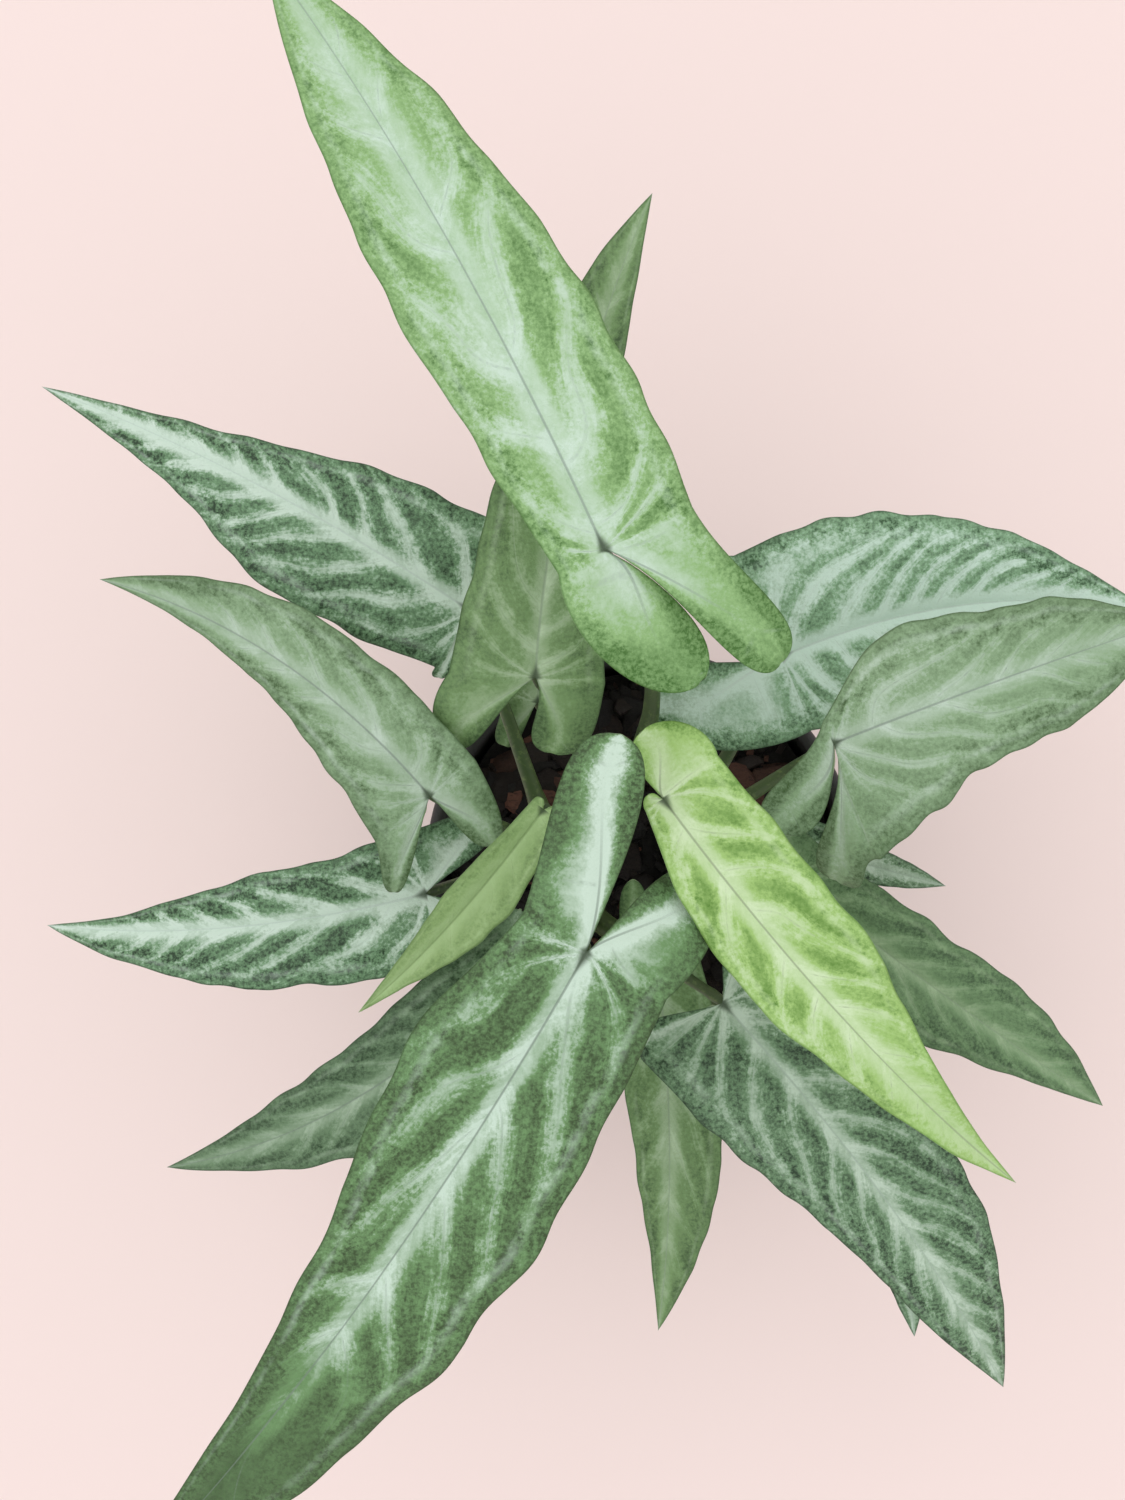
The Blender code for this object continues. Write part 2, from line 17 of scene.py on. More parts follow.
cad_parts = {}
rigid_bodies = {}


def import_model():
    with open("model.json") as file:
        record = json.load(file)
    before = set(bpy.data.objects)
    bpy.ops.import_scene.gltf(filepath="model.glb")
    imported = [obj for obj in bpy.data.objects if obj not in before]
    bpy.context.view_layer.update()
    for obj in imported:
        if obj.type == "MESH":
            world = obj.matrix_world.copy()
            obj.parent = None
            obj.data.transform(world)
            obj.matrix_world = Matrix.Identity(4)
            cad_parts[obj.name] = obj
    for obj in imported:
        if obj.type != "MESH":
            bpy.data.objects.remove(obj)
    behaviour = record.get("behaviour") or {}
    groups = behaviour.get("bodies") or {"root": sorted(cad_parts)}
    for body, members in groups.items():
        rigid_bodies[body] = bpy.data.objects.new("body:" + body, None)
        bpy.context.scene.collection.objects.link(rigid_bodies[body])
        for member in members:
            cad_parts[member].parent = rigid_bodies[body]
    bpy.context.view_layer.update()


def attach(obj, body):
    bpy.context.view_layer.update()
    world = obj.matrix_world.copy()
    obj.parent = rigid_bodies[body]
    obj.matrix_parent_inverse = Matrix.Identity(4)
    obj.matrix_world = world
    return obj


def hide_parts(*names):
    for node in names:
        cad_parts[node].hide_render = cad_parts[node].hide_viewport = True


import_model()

MM = 0.001
UP = Vector((0, 0, 1))

# Pot
POT_HEIGHT = 105 * MM
POT_BASE_RADIUS = 44 * MM
POT_TOP_RADIUS = 58 * MM
POT_WALL = 1.6 * MM
POT_FLOOR = 2.5 * MM
RIM_OUT = 3 * MM
RIM_BAND = 12 * MM
POT_SIDES = 144
DRAIN_HOLES = 6
DRAIN_RADIUS = 4 * MM
DRAIN_RING = 33 * MM

# Bark soil
SOIL_LEVEL = 93 * MM
SOIL_MOUND = 4 * MM
SOIL_RINGS = 26
SOIL_SIDES = 96
CHIPS = 52
CHIP_LENGTH = (9 * MM, 17 * MM)
CHIP_WIDTH = (5 * MM, 9 * MM)
CHIP_THICK = (3 * MM, 5 * MM)
CHIP_SEED = 11
CHIP_TURN = math.radians(137.5)
CHIP_LOOSE = 0.2
CHIP_ROUGH = 0.14
CHIP_RISE = 0.4 * MM
CHIP_FROM_WALL = 10 * MM
CHIP_FROM_STEM = 10 * MM
SMALL_CHIPS = 300
CRUMBS = 520

# Stems and leaf stalks
STEM_DEPTH = 25 * MM
STEM_RADIUS = 4.5 * MM
STEM_TOP_RADIUS = 3.4 * MM
STALK_BASE_RADIUS = 2.9 * MM
STALK_MIDDLE_RADIUS = 1.8 * MM
STALK_END_RADIUS = 1.3 * MM
STALK_RUNS = 34
STALK_UNDER_BLADE = 7 * MM
STALK_FIRST = 4
STALK_SPACING = 3
STALK_UPRIGHT = 0.45
STALK_LEAN = 0.24
STALK_ARRIVE = 0.35
STALK_SEAT = 2.1 * MM
NECK_BELOW = 1.2 * MM
NECK_BEHIND = 0.6 * MM
SHEATH_SHARE = 0.3
SHEATH_PROUD = 0.35 * MM

# Blades. The rows are those ahead of the sinus, those of a lobe, and the columns out to a margin
SMALL_BLADE = 75 * MM
ROWS = (132, 34, 22)
ROWS_SMALL = (64, 18, 12)
MIDRIB_CROWDING = 1.25
WAVES = 2.6
WAVE_START = 0.2
WAVE_HALF_SHIFT = 0.15
LOBE_OUTER_BEND = 0.45
LOBE_INNER_BEND = 0.35

# A blade's skin, in millimetres: its thickness at the margin and the main rib, how far it puffs up
# between side veins, sinks along the midrib and rolls, and how many side veins fan out from the sinus
SKIN_ABOVE = 0.2
BLADE_THICK = 0.4
RIB_THICK = 2.2
QUILT = 0.58
GROOVE = 0.3
ROLLING = 0.9
FAN_VEINS = 1.6

Lobe = namedtuple("Lobe", "side back round drop outer inner", defaults=(0, 0, 0))
Leaf = namedtuple(
    "Leaf",
    "name shoot sinus tip arch bow left right left_lobe right_lobe roll fold curl wave tone",
)

# Stems: place on the soil, and height of the top above the soil, in millimetres
SHOOTS = {
    "north": (-8, 20, 26),
    "west": (-24, 4, 24),
    "south": (-16, -12, 24),
    "east": (9, 8, 26),
}

# All in millimetres and degrees. left and right hold the half widths at 0, 0.2, 0.4, 0.6 and 0.8 of
# the blade's length, and a lobe holds its tip, roundness, drop and the swell of its two margins
LEAVES = [
    Leaf("leaf_north_top", "north", (-13, 77, 228), (-90, 212, 226), 12, -3,
         (12, 16, 18, 16, 10.5), (22, 23, 20.5, 16.5, 9),
         Lobe(-8, 38, 12, 2, 6, 7), Lobe(28, 44, 13, 5, 2, -3.8), 8, 0.25, 0.22, 0.8, "light"),
    Leaf("leaf_north_under", "north", (-29, 50, 186), (-1, 165, 196), 8, 5,
         (21, 17, 15, 11, 7.5), (17, 14, 11.5, 8, 5),
         Lobe(19, 20, 6, 2, 6, -2), Lobe(5, 20, 11, 2, -1, -3), 0, 0.22, 0.2, 0.8, "olive"),
    Leaf("leaf_north_small", "north", (-29, 45, 142), (-23, 108, 136), 5, 0,
         (9, 9, 8, 6, 3), (9, 9, 8, 6, 3),
         Lobe(8, 13, 5, 1), Lobe(7, 12, 5, 1), 0, 0.2, 0.2, 0, "olive"),
    Leaf("leaf_west_high", "west", (-46, 68, 160), (-158, 127, 150), 9, -3,
         (17, 21.5, 21.5, 12, 5.5), (23, 20, 14, 8, 3.5),
         Lobe(19, 3, 4, 2), Lobe(24, 5, 4, 2), 0, 0.25, 0.2, 0.8, "dark"),
    Leaf("leaf_west_middle", "west", (-55, 21, 180), (-138, 75, 172), 8, -8,
         (17.5, 14, 9.5, 6, 2.5), (14.5, 14.5, 14.5, 12.5, 7),
         Lobe(23, 14, 4, 2, 2), Lobe(4, 20, 6, 3, -2), -5, 0.2, 0.2, 0.6, "grey"),
    Leaf("leaf_west_low", "west", (-58, -5, 150), (-159, -14, 140), 8, 4,
         (17, 19, 16.5, 13.5, 7.5), (17, 14.5, 12.5, 8.5, 3.7),
         Lobe(10, 14, 6, 2), Lobe(14, 22, 7, 2), 0, 0.25, 0.2, 0.6, "dark"),
    Leaf("leaf_west_new", "west", (-27, 18, 185), (-74, -34, 165), 6, 2,
         (5, 8, 9, 6.2, 2.6), (3.5, 5, 6, 4.5, 2.4),
         Lobe(3, 3, 1.5, 0), Lobe(2, 2, 1.2, 0), 0, 0.35, 0.1, 0, "new"),
    # This leaf's tone is the grey made darker: painted shade under the south top leaf
    Leaf("leaf_southwest_low", "south", (-33, -23, 138), (-130, -81, 126), 9, 9,
         (13, 16, 18.5, 12.5, 6), (12, 15, 13, 11, 6),
         Lobe(10, 9, 4, -2), Lobe(9, 9, 4, -2), 0, 0.22, 0.2, 0.5, "slate"),
    Leaf("leaf_south_top", "south", (-17, -13, 224), (-130, -169, 198), 14, 5,
         (21, 25, 25, 20.5, 11.5), (17, 24.5, 17, 10.5, 6),
         Lobe(17, 29, 11, 20, 5, 2), Lobe(19, 45, 15, -8, 4, 4), -8, 0.22, 0.2, 0.8, "strong"),
    Leaf("leaf_centre_east", "east", (1, 21, 208), (87, -72, 190), 16, -4,
         (16, 17.5, 16.5, 10.5, 4.2), (5, 12, 12, 8.5, 5),
         Lobe(5, 16.5, 8, 0, 3, 2), Lobe(2, 3, 1.5, 0), 0, 0.25, 0.15, 2.0, "bright"),
    Leaf("leaf_east_high", "east", (33, 56, 166), (125, 67, 168), 9, 7,
         (28, 28, 24, 17.5, 8.5), (20, 24, 23, 19, 12),
         Lobe(21, 13, 8, 2, 3, 1), Lobe(-3, 38, 15, 2, 2), 0, 0.35, 0.25, 0.8, "silver"),
    Leaf("leaf_east_middle", "east", (43, 34, 190), (122, 63, 198), 8, 1,
         (6, 18.5, 18.5, 15.5, 10.5), (30, 23, 18, 16, 10),
         Lobe(-14, 21, 14, -6, -11, 5), Lobe(32, 16, 13, 8, -3, -8), 0, 0.22, 0.2, 0.8, "grey"),
    Leaf("leaf_east_small", "east", (36, 8, 122), (83, -5, 120), 4, 0,
         (6, 8, 7, 5, 3), (6, 8, 7, 5, 3),
         Lobe(4, 4, 2, -1), Lobe(4, 4, 2, -1), 0, 0.2, 0.1, 0, "mottled"),
    Leaf("leaf_southeast_low", "east", (38, -2, 142), (124, -64, 128), 8, -1,
         (12, 13, 13, 13.5, 9), (13, 15, 15, 10.5, 5),
         Lobe(10, 12, 4, -2), Lobe(10, 12, 4, -2), 0, 0.2, 0.2, 0.4, "dull"),
    Leaf("leaf_southeast_top", "south", (17, -30, 178), (92, -133, 152), 10, 4,
         (21, 22.5, 21, 19, 11), (24, 22.5, 17.5, 12.5, 8),
         Lobe(15, 11, 6, 1), Lobe(21, 8, 6, 1), 0, 0.22, 0.2, 0.8, "mottled"),
    Leaf("leaf_south_low", "south", (3, -22, 126), (4, -128, 117), 8, 3,
         (11, 14, 14.5, 13, 8), (9, 12, 11, 8, 4),
         Lobe(10, 16, 5, -5), Lobe(4, 19, 5, -6), 0, 0.22, 0.2, 0.4, "olive"),
    Leaf("leaf_south_small", "south", (66, -72, 118), (75, -130, 116), 4, 0,
         (8, 10, 9, 7, 4), (8, 10, 9, 7, 4),
         Lobe(5, 5, 2.5, -1), Lobe(5, 5, 2.5, -1), 0, 0.2, 0.1, 0, "mottled"),
]

# How far a stalk's middle stands aside, east and north, to pass clear of its neighbours
SWAY = {"leaf_north_top": (14, 4)}

# Each tone's colours on a 0 to 255 scale, and its pattern. veins are the millimetres between side
# veins, sweep how far they run forward, band the half width of the pale zone along the midrib, and rim
# the width of the greener margin. Paleness runs from 0, deep green, to 1, silvery: base is the plain
# value, middle, streak and silver what the midrib's zone, the veins and the lobes' middles add, patch,
# border, tip and lobe what the patches, the margin, the tip and the lobes' ends take away, and mottle
# and speck the unevenness. fade is how much of the pattern the tip loses. line is the colour of the
# midrib's line
# A tone's line colour is darker than its pale zone: painted shade along the midrib's groove. The side
# veins' lines are drawn in it too
Tone = namedtuple(
    "Tone",
    "slot deep green pale line veins sweep band rim base middle streak silver patch border tip fade"
    " lobe mottle speck",
)
TONES = {
    "strong": Tone("leaf_strong", (52, 76, 38), (107, 146, 95), (202, 224, 208), (118, 134, 122),
                   25, 1.6, 4.0, 6, 0.52, 0.34, 0.28, 0.44, 0.36, 0.34, 0.8, 0.75, 0.16, 1.3, 0.42),
    "dark": Tone("leaf_dark", (30, 58, 32), (112, 150, 112), (206, 226, 212), (190, 208, 198),
                 13, 1.5, 2.2, 5, 0.66, 0.36, 0.38, 0.3, 0.34, 0.38, 0.0, 0.1, 0.25, 1.2, 0.52),
    "mottled": Tone("leaf_dark", (32, 58, 34), (106, 140, 104), (190, 210, 192), (160, 180, 164),
                    13, 1.5, 2.2, 5, 0.56, 0.32, 0.32, 0.3, 0.28, 0.3, 0.0, 0.1, 0.2, 1.3, 0.6),
    "silver": Tone("leaf_dark", (48, 84, 50), (132, 170, 134), (200, 224, 210), (190, 208, 198),
                   9, 1.1, 2.8, 5, 0.88, 0.26, 0.28, 0.15, 0.42, 0.6, 0.0, 0.1, 0.3, 1.2, 0.44),
    "light": Tone("leaf_light", (64, 110, 40), (144, 184, 122), (204, 227, 210), (140, 158, 146),
                  26, 1.5, 5.5, 4.5, 0.7, 0.17, 0.2, 0.1, 0.32, 0.34, 0.06, 0.5, 0.6, 1.1, 0.32),
    "grey": Tone("leaf_grey", (60, 90, 46), (136, 166, 128), (196, 215, 200), (128, 142, 132),
                 13, 1.6, 3.0, 6, 0.56, 0.2, 0.2, 0.15, 0.16, 0.34, 0.06, 0.4, 0.3, 0.9, 0.26),
    # A darker copy of the grey tone, sharing its slot: painted shade for the leaf that lies under the
    # south top leaf
    "slate": Tone("leaf_grey", (44, 72, 42), (106, 136, 102), (172, 194, 170), (124, 140, 126),
                  13, 1.6, 2.4, 6, 0.53, 0.26, 0.28, 0.1, 0.22, 0.26, 0.06, 0.3, 0.2, 0.9, 0.36),
    "olive": Tone("leaf_olive", (52, 82, 40), (114, 147, 95), (178, 201, 168), (142, 162, 136),
                  13, 1.5, 2.0, 6, 0.55, 0.24, 0.24, 0.1, 0.16, 0.24, 0.06, 0.3, 0.25, 0.9, 0.26),
    "new": Tone("leaf_new", (86, 118, 56), (144, 176, 114), (188, 216, 162), (126, 154, 96),
                12, 1.6, 1.6, 3, 0.54, 0.16, 0.1, 0.0, 0.08, 0.2, 0.0, 0.2, 0.1, 0.3, 0.16),
    "bright": Tone("leaf_bright", (80, 128, 34), (158, 196, 114), (208, 230, 188), (140, 156, 122),
                   13, 1.2, 3.0, 2.5, 0.68, 0.26, 0.24, 0.1, 0.38, 0.22, 0.06, 1.0, 0.25, 1.0, 0.22),
    "dull": Tone("leaf_olive", (48, 78, 44), (108, 141, 98), (160, 185, 148), (136, 158, 128),
                 12, 1.5, 1.6, 6, 0.54, 0.26, 0.26, 0.1, 0.2, 0.24, 0.06, 0.3, 0.2, 0.9, 0.32),
}


def linear(colour):
    """A colour given on a 0 to 255 scale, as the light it returns."""
    return tuple(((part / 255 + 0.055) / 1.055) ** 2.4 for part in colour) + (1.0,)


class Amount:
    """A value in a material. Sums on it add the nodes that work them out."""

    def __init__(self, finish, socket):
        self.finish = finish
        self.socket = socket

    def math(self, operation, *others):
        sockets = dict(enumerate((self, *others)))
        return self.finish.node("Math", {"operation": operation}, sockets)

    def __add__(self, other):
        return self.math("ADD", other)

    __radd__ = __add__

    def __sub__(self, other):
        return self.math("SUBTRACT", other)

    def __rsub__(self, other):
        return self.finish.node("Math", {"operation": "SUBTRACT"}, {0: other, 1: self})

    def __mul__(self, other):
        return self.math("MULTIPLY", other)

    __rmul__ = __mul__

    def larger(self, other):
        return self.math("MAXIMUM", other)

    def size(self):
        return self.math("ABSOLUTE")

    def step(self, low, high):
        """Rises smoothly from 0 at low to 1 at high, or falls where low is the larger."""
        settings = {"interpolation_type": "SMOOTHSTEP"}
        return self.finish.node("MapRange", settings, {0: self, 1: low, 2: high})


class Finish:
    """The nodes of one material."""

    def __init__(self, name):
        self.material = bpy.data.materials.new(name)
        self.material.use_nodes = True
        self.tree = self.material.node_tree
        self.shader = self.tree.nodes["Principled BSDF"]
        self.place = self.node("TexCoord", {}, {}, "Object")

    def node(self, kind, settings, sockets, out=0):
        """A node of a kind, with its settings, then the values or links of its sockets."""
        made = self.tree.nodes.new("ShaderNode" + kind)
        for name, value in settings.items():
            setattr(made, name, value)
        for key, value in sockets.items():
            self.feed(made.inputs[key], value)
        return Amount(self, made.outputs[out])

    def feed(self, socket, value):
        if isinstance(value, Amount):
            self.tree.links.new(value.socket, socket)
        else:
            socket.default_value = value

    def parts(self, vector):
        """The three numbers of a vector."""
        first = self.node("SeparateXYZ", {}, {0: vector})
        outputs = first.socket.node.outputs
        return [Amount(self, output) for output in outputs]

    def carried(self, name):
        """The three numbers that the mesh carries under a name."""
        vector = self.node("Attribute", {"attribute_name": name}, {}, "Vector")
        return self.parts(vector)

    def grain(self, size, detail=2.0, rough=0.5, place=None):
        """Even noise from 0 to 1 with features of a size in metres."""
        sockets = {
            "Vector": place or self.place, "Scale": 1 / size, "Detail": detail, "Roughness": rough,
        }
        return self.node("TexNoise", {}, sockets, "Fac")

    def mixed(self, first, second, share):
        """Two colours, the second by its share."""
        return self.node("Mix", {"data_type": "RGBA"}, {0: share, 6: first, 7: second}, 2)

    def vector(self, x, y, z):
        return self.node("CombineXYZ", {}, {0: x, 1: y, 2: z})

    def surface(self, colour, roughness, relief=None, depth=0.0002, **constants):
        self.feed(self.shader.inputs["Base Color"], colour)
        self.feed(self.shader.inputs["Roughness"], roughness)
        for name, value in constants.items():
            self.shader.inputs[name.replace("_", " ")].default_value = value
        if relief is not None:
            bump = self.node("Bump", {}, {"Strength": 1.0, "Distance": depth, "Height": relief})
            self.feed(self.shader.inputs["Normal"], bump)
        return self.material


def leaf_top(tone_name):
    """The patterned upper side of a leaf. The mesh carries the places of its veins and margins."""
    tone = TONES[tone_name]
    skin = Finish("leaf_" + tone_name)
    phase, across, along = skin.carried("veins")
    rib, edge, hand = skin.carried("place")
    broad = skin.grain(0.03, 0.5) - 0.5
    middle = skin.grain(0.0045, 4, 0.7) - 0.5
    fine = skin.grain(0.0010, 3, 0.7).step(0.3, 0.7) - 0.5
    reach = rib.size()
    lobe = along.step(0.02, -0.15)

    # Side veins, one at each whole number of the phase, and the spaces between them
    turn = phase + broad * 1.2
    near = (turn.math("FRACT") - 0.5).size() * 2
    lattice = skin.vector(turn * 0.8 + hand * 7.3, across * 2.6, broad * 2)
    own = skin.grain(1.0, 3, 0.6, lattice) - 0.5
    threads = skin.vector(turn * 6 + hand * 3.1, across * 3, broad)
    feather = skin.grain(1.0, 3, 0.7, threads) - 0.5
    loose = near + middle * 0.7 + fine * 0.2 + feather * 0.9
    streak = (loose + own * 0.5).step(0.35, 1.15) * (1 - across * 0.6) * (1 - lobe * 0.6)
    between = (loose - own * 0.9).step(1.0, 0.0)
    window = (reach + middle * 4).step(tone.band * 0.4, tone.band * 0.4 + 3.5)
    window = window * (across + middle * 0.5).step(1.05, 0.6) * (1 - lobe * 0.7)

    # The pale zone along the midrib, the lobes' silvery middles, the greener margin and the tip
    swell = (along.step(-0.1, 0.4) * 0.6 + 0.5) * along.step(1.3, 0.6)
    ragged = reach + middle * tone.band * 2 - swell * tone.band
    hub = (reach + along.size() * 90 + middle * 10).step(15, 2)
    band = ragged.step(1.0 * tone.band, -0.8 * tone.band).larger(hub)
    silver = (across + middle * 0.9 + fine * 0.15).step(1.0, 0.05) * lobe
    margin = (edge + middle * 8 + fine * 2).step(tone.rim * 1.5, 0) * across.step(0.2, 0.6)
    fade = along.step(0.4, 0.85)
    marks = 1 - fade * tone.fade

    paleness = band * tone.middle * (1 - fade * tone.fade * 0.5) + streak * tone.streak * marks
    paleness = paleness + silver * tone.silver
    patch = between * window * marks
    paleness = paleness - patch * (tone.patch * (1.2 + own * 2.2)) + tone.base
    paleness = paleness - margin * (own + 1) * tone.border - fade * tone.tip
    end = along.step(-0.12, -0.7)
    paleness = paleness - end * (own + middle * 1.5 + 1.1) * tone.lobe
    paleness = paleness + (middle * 0.4 + feather * 0.3) * tone.mottle + broad * 0.3
    paleness = paleness.larger(middle * 0.5 + 0.1)
    paleness = paleness + fine * tone.speck * (patch * 0.8 + margin * 0.6 + end * 0.6 + 0.2)
    colour = skin.mixed(linear(tone.deep), linear(tone.green), paleness * 1.7 + 0.17)
    colour = skin.mixed(colour, linear(tone.pale), paleness * 1.8 - 0.9)

    # Fine lines: side veins, the vein that collects them, the margin, the midrib and its joint
    vein_line = near.step(0.95, 0.99) * reach.step(0.2, 2.0) * across.step(0.9, 0.3)
    vein_line = vein_line * (own + fine + 0.6)
    collect = (across - 0.79 + middle * 0.12).size().step(0.09, 0.0) * along.step(-0.2, 0.2)
    colour = skin.mixed(colour, linear(tone.pale), collect * marks * (0.2 + own + middle))
    colour = skin.mixed(colour, linear(tone.line), vein_line * 0.35)
    colour = skin.mixed(colour, linear(tone.deep), edge.step(0.6, 0.1) * 0.5)
    # The midrib's line: a thin stripe, darker than the pale zone around it, painted shade in the midrib's
    # groove
    half_line = 0.28 - along * 0.2
    midrib_groove_shade = (reach - half_line).step(0.16, -0.16) * along.step(-0.6, -0.05)
    colour = skin.mixed(colour, linear(tone.line), midrib_groove_shade * 0.7)
    joint = (reach + along.size() * 60).step(2.4, 0.6)
    colour = skin.mixed(colour, linear((46, 66, 38)), joint * 0.85)

    pores = skin.grain(0.0005, 1, 0.5)
    relief = pores * 0.25 + fine * 0.4 - vein_line * 0.5 + middle * 0.6
    roughness = 0.5 + fine * 0.3 - midrib_groove_shade * 0.08
    return skin.surface(colour, roughness, relief, 0.00018, Specular_IOR_Level=0.4)


def leaf_under(tone_name):
    """The paler, matt underside of a leaf, with veins that stand out."""
    tone = TONES[tone_name]
    skin = Finish("underside_" + tone_name)
    phase, across, _ = skin.carried("veins")
    rib, edge, _ = skin.carried("place")
    middle = skin.grain(0.006, 3, 0.6)
    fine = skin.grain(0.0013, 3, 0.6)
    near = ((phase + (middle - 0.5) * 0.2).math("FRACT") - 0.5).size() * 2
    vein = near.step(0.86, 0.97) * across.step(1.0, 0.6)
    ribs = rib.size().step(1.9, 0.7)
    body = tuple(0.55 * one + 0.45 * other for one, other in zip(tone.green, (168, 190, 160)))
    rib_colour = tuple(0.4 * one + 0.6 * other for one, other in zip(tone.pale, (172, 196, 140)))
    colour = skin.mixed(linear(body), linear(tone.green), middle.step(0.4, 0.7) * 0.5)
    colour = skin.mixed(colour, linear(tone.deep), near.step(0.6, 0.2) * tone.patch * 0.22)
    colour = skin.mixed(colour, linear(rib_colour), vein.larger(ribs) * 0.75)
    colour = skin.mixed(colour, linear(tone.deep), edge.step(1.4, 0.3) * 0.3)
    relief = fine * 0.5 + vein * 0.8
    return skin.surface(colour, 0.55 + fine * 0.15, relief, 0.0002, Specular_IOR_Level=0.3)


def stalk_finish():
    """Waxy green stalks, paler and browner towards the soil, with fine lengthwise streaks."""
    skin = Finish("stalk_green")
    x, y, z = skin.parts(skin.place)
    stretched = skin.vector(x, y, z * 0.07)
    streak = skin.grain(0.0012, 3, 0.6, stretched)
    broad = skin.grain(0.014, 2)
    height = z + (broad - 0.5) * 0.012
    colour = skin.mixed(linear((60, 84, 40)), linear((45, 68, 32)), broad.step(0.35, 0.7))
    colour = skin.mixed(colour, linear((120, 146, 80)), streak.step(0.5, 0.75) * 0.4)
    colour = skin.mixed(colour, linear((78, 88, 50)), height.step(0.15, 0.105) * 0.8)
    # Just above the soil the stalks turn a dark brown: partly their own browner foot, partly painted shade
    # under the leaves
    colour = skin.mixed(colour, linear((74, 56, 40)), height.step(0.112, 0.095) * 0.85)
    relief = streak * 0.6 + broad * 0.4
    return skin.surface(colour, 0.36 + streak * 0.2, relief, 0.0002, Specular_IOR_Level=0.5)


def bark_finish():
    """Damp bark with a fibrous grain, each chip its own brown; all near black with painted shade, darkest
    in the hollows between chips.
    """
    skin = Finish("bark_mix")
    tint, _, wet = skin.carried("chip")
    fine = skin.grain(0.0009, 4, 0.7)
    middle = skin.grain(0.004, 3, 0.6)
    x, y, z = skin.parts(skin.place)
    fibre = skin.grain(0.0011, 4, 0.65, skin.vector(x * 0.35, y, z))
    # Painted shade: every brown is near black, the bark's own dark brown deepened as if shaded by the
    # leaves
    colour = skin.mixed(linear((16, 13, 12)), linear((34, 25, 21)), tint.step(0.3, 0.8))
    colour = skin.mixed(colour, linear((92, 58, 46)), tint.step(0.84, 0.99))
    colour = skin.mixed(colour, linear((14, 11, 11)), fibre.step(0.48, 0.68) * 0.6)
    colour = skin.mixed(colour, linear((110, 78, 62)), (fine * tint).step(0.48, 0.72) * 0.35)
    relief = fine * 0.5 + fibre * 0.7 + middle * 0.5
    roughness = 0.9 - wet * 0.25 - middle.step(0.5, 0.7) * 0.12
    return skin.surface(colour, roughness, relief, 0.0008, Specular_IOR_Level=0.35)


def plastic_finish():
    """Black moulded plastic with a fine grain, rubbed paler in small scattered scuffs and a little dusty.
    """
    skin = Finish("black_plastic")
    x, y, z = skin.parts(skin.place)
    grain = skin.grain(0.0007, 2, 0.6)
    smear = skin.grain(0.02, 4, 0.6)
    scuff = skin.grain(0.0035, 4, 0.75, skin.vector(x, y, z * 0.5))
    dust = smear.step(0.45, 0.75) * 0.35 + z.step(0.02, 0.0) * 0.4
    colour = skin.mixed(linear((26, 26, 27)), linear((40, 39, 38)), smear)
    colour = skin.mixed(colour, linear((92, 86, 78)), dust * scuff.step(0.4, 0.7) * 0.45)
    colour = skin.mixed(colour, linear((70, 70, 70)), scuff.step(0.66, 0.74) * 0.35)
    relief = grain * 0.6 + scuff * 0.3
    return skin.surface(colour, 0.4 + smear * 0.2 + dust * 0.2, relief, 0.00025)


def plain_finish(name, colour, roughness):
    skin = Finish(name)
    return skin.surface(linear(colour), roughness)


def smooth_step(t):
    t = min(max(t, 0.0), 1.0)
    return t * t * (3 - 2 * t)


def through(values, t):
    """A smooth curve through evenly spaced values, read at t from 0 to 1."""
    last = len(values) - 1
    place = min(max(t, 0.0), 1.0) * last
    i = min(int(place), last - 1)
    f = place - i
    b, c = values[i], values[i + 1]
    a = values[i - 1] if i > 0 else 2 * b - c
    d = values[i + 2] if i + 2 <= last else 2 * c - b
    bend = (2 * a - 5 * b + 4 * c - d) * f * f + (3 * b - a - 3 * c + d) * f**3
    return 0.5 * (2 * b + (c - a) * f + bend)


def cubic(start, near_start, near_end, end, t):
    """A cubic Bezier curve."""
    ends = start * (1 - t) ** 3 + end * t**3
    return ends + near_start * (3 * t * (1 - t) ** 2) + near_end * (3 * t * t * (1 - t))


# One point of a blade: its place, and in millimetres or as shares what its pattern follows
Spot = namedtuple("Spot", "place phase across along rib edge")


